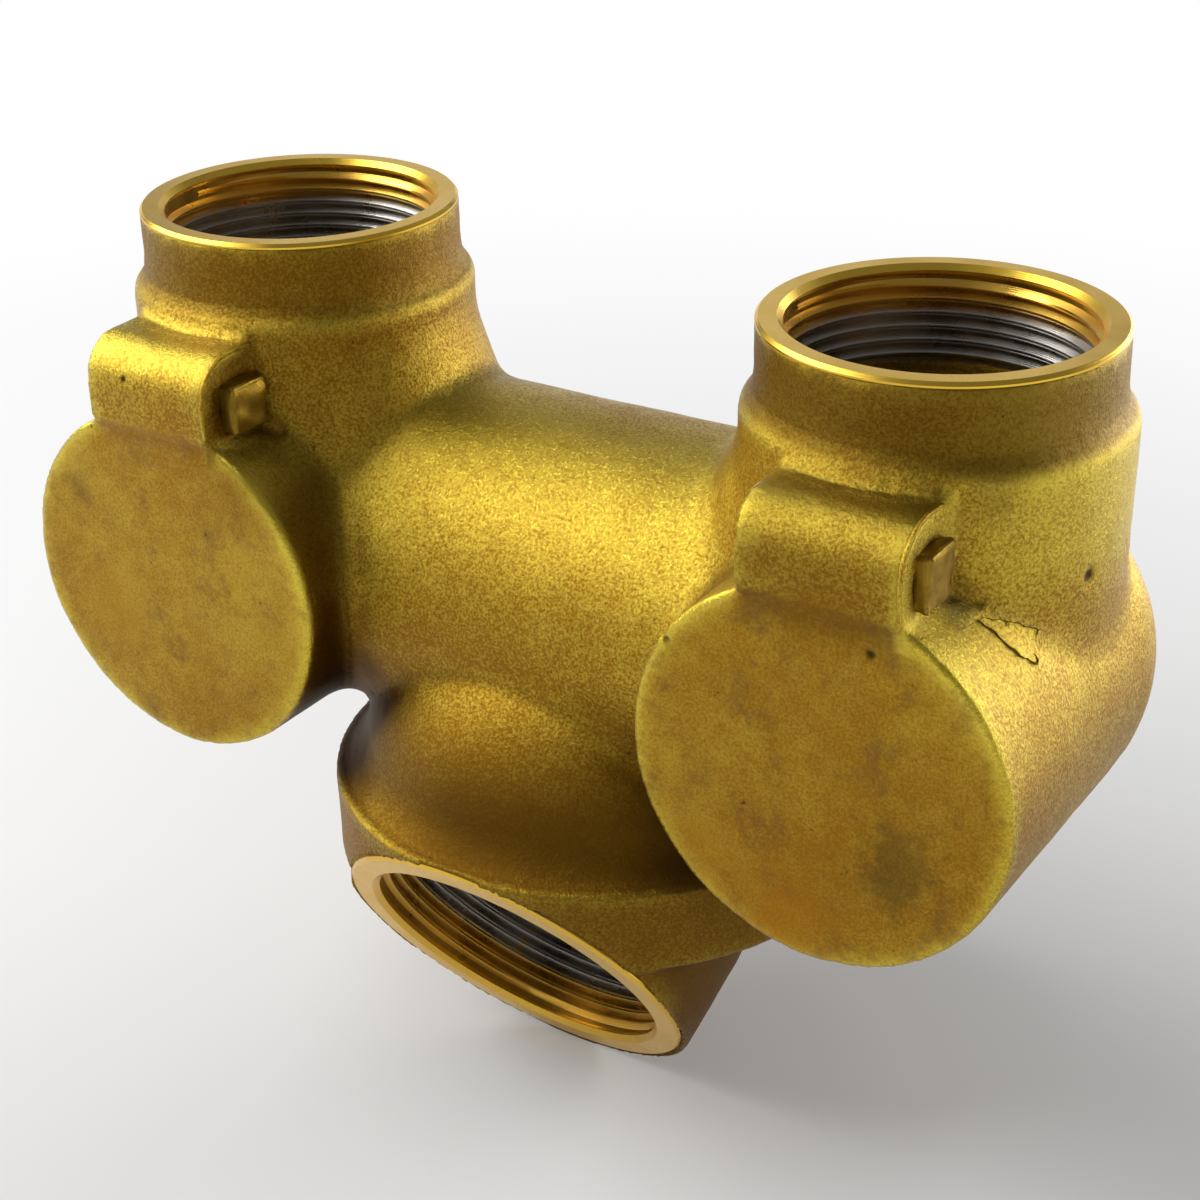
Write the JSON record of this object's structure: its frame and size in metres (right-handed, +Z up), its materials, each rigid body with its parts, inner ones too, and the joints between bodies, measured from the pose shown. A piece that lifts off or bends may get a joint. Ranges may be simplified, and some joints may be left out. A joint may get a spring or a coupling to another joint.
{
  "type": "clappered siamese hose inlet body",
  "caption": "Cast-brass siamese body: a pair of upright threaded hose inlets, each over a hinged clapper, joined by a crossover tube to one slanted threaded outlet.",
  "frame": {"origin": "centre of the outlet's mouth, on the outlet's axis", "axes": "+Z up along the inlets' axes, +X from the left inlet to the right inlet, -Y towards the round pocket covers and the outlet's mouth"},
  "size_m": [0.296, 0.1505, 0.2345],
  "materials": {
    "cast_brass": "sand-cast, rough satin",
    "clapper_brass": "cast and turned",
    "plug_brass": "ground",
    "facing_rubber": "matte",
    "pin_steel": "ground stainless"
  },
  "bodies": {
    "casting": {"body_casting": "cast_brass", "left_hinge_pin": "pin_steel", "left_pin_plug": "plug_brass", "right_hinge_pin": "pin_steel", "right_pin_plug": "plug_brass"},
    "left_flap": {"left_clapper": "clapper_brass", "left_clapper_facing": "facing_rubber", "left_facing_washer": "clapper_brass", "left_facing_nut": "clapper_brass"},
    "right_flap": {"right_clapper": "clapper_brass", "right_clapper_facing": "facing_rubber", "right_facing_washer": "clapper_brass", "right_facing_nut": "clapper_brass"}
  },
  "joints": [
    {"name": "left_clapper_swing", "type": "hinge", "parent": "casting", "child": "left_flap", "pos_m": [-0.099, -0.00351, 0.15038], "axis": [1, 0, 0], "range_deg": [0, 90]},
    {"name": "right_clapper_swing", "type": "hinge", "parent": "casting", "child": "right_flap", "pos_m": [0.099, -0.00351, 0.15038], "axis": [1, 0, 0], "range_deg": [0, 90]}
  ]
}
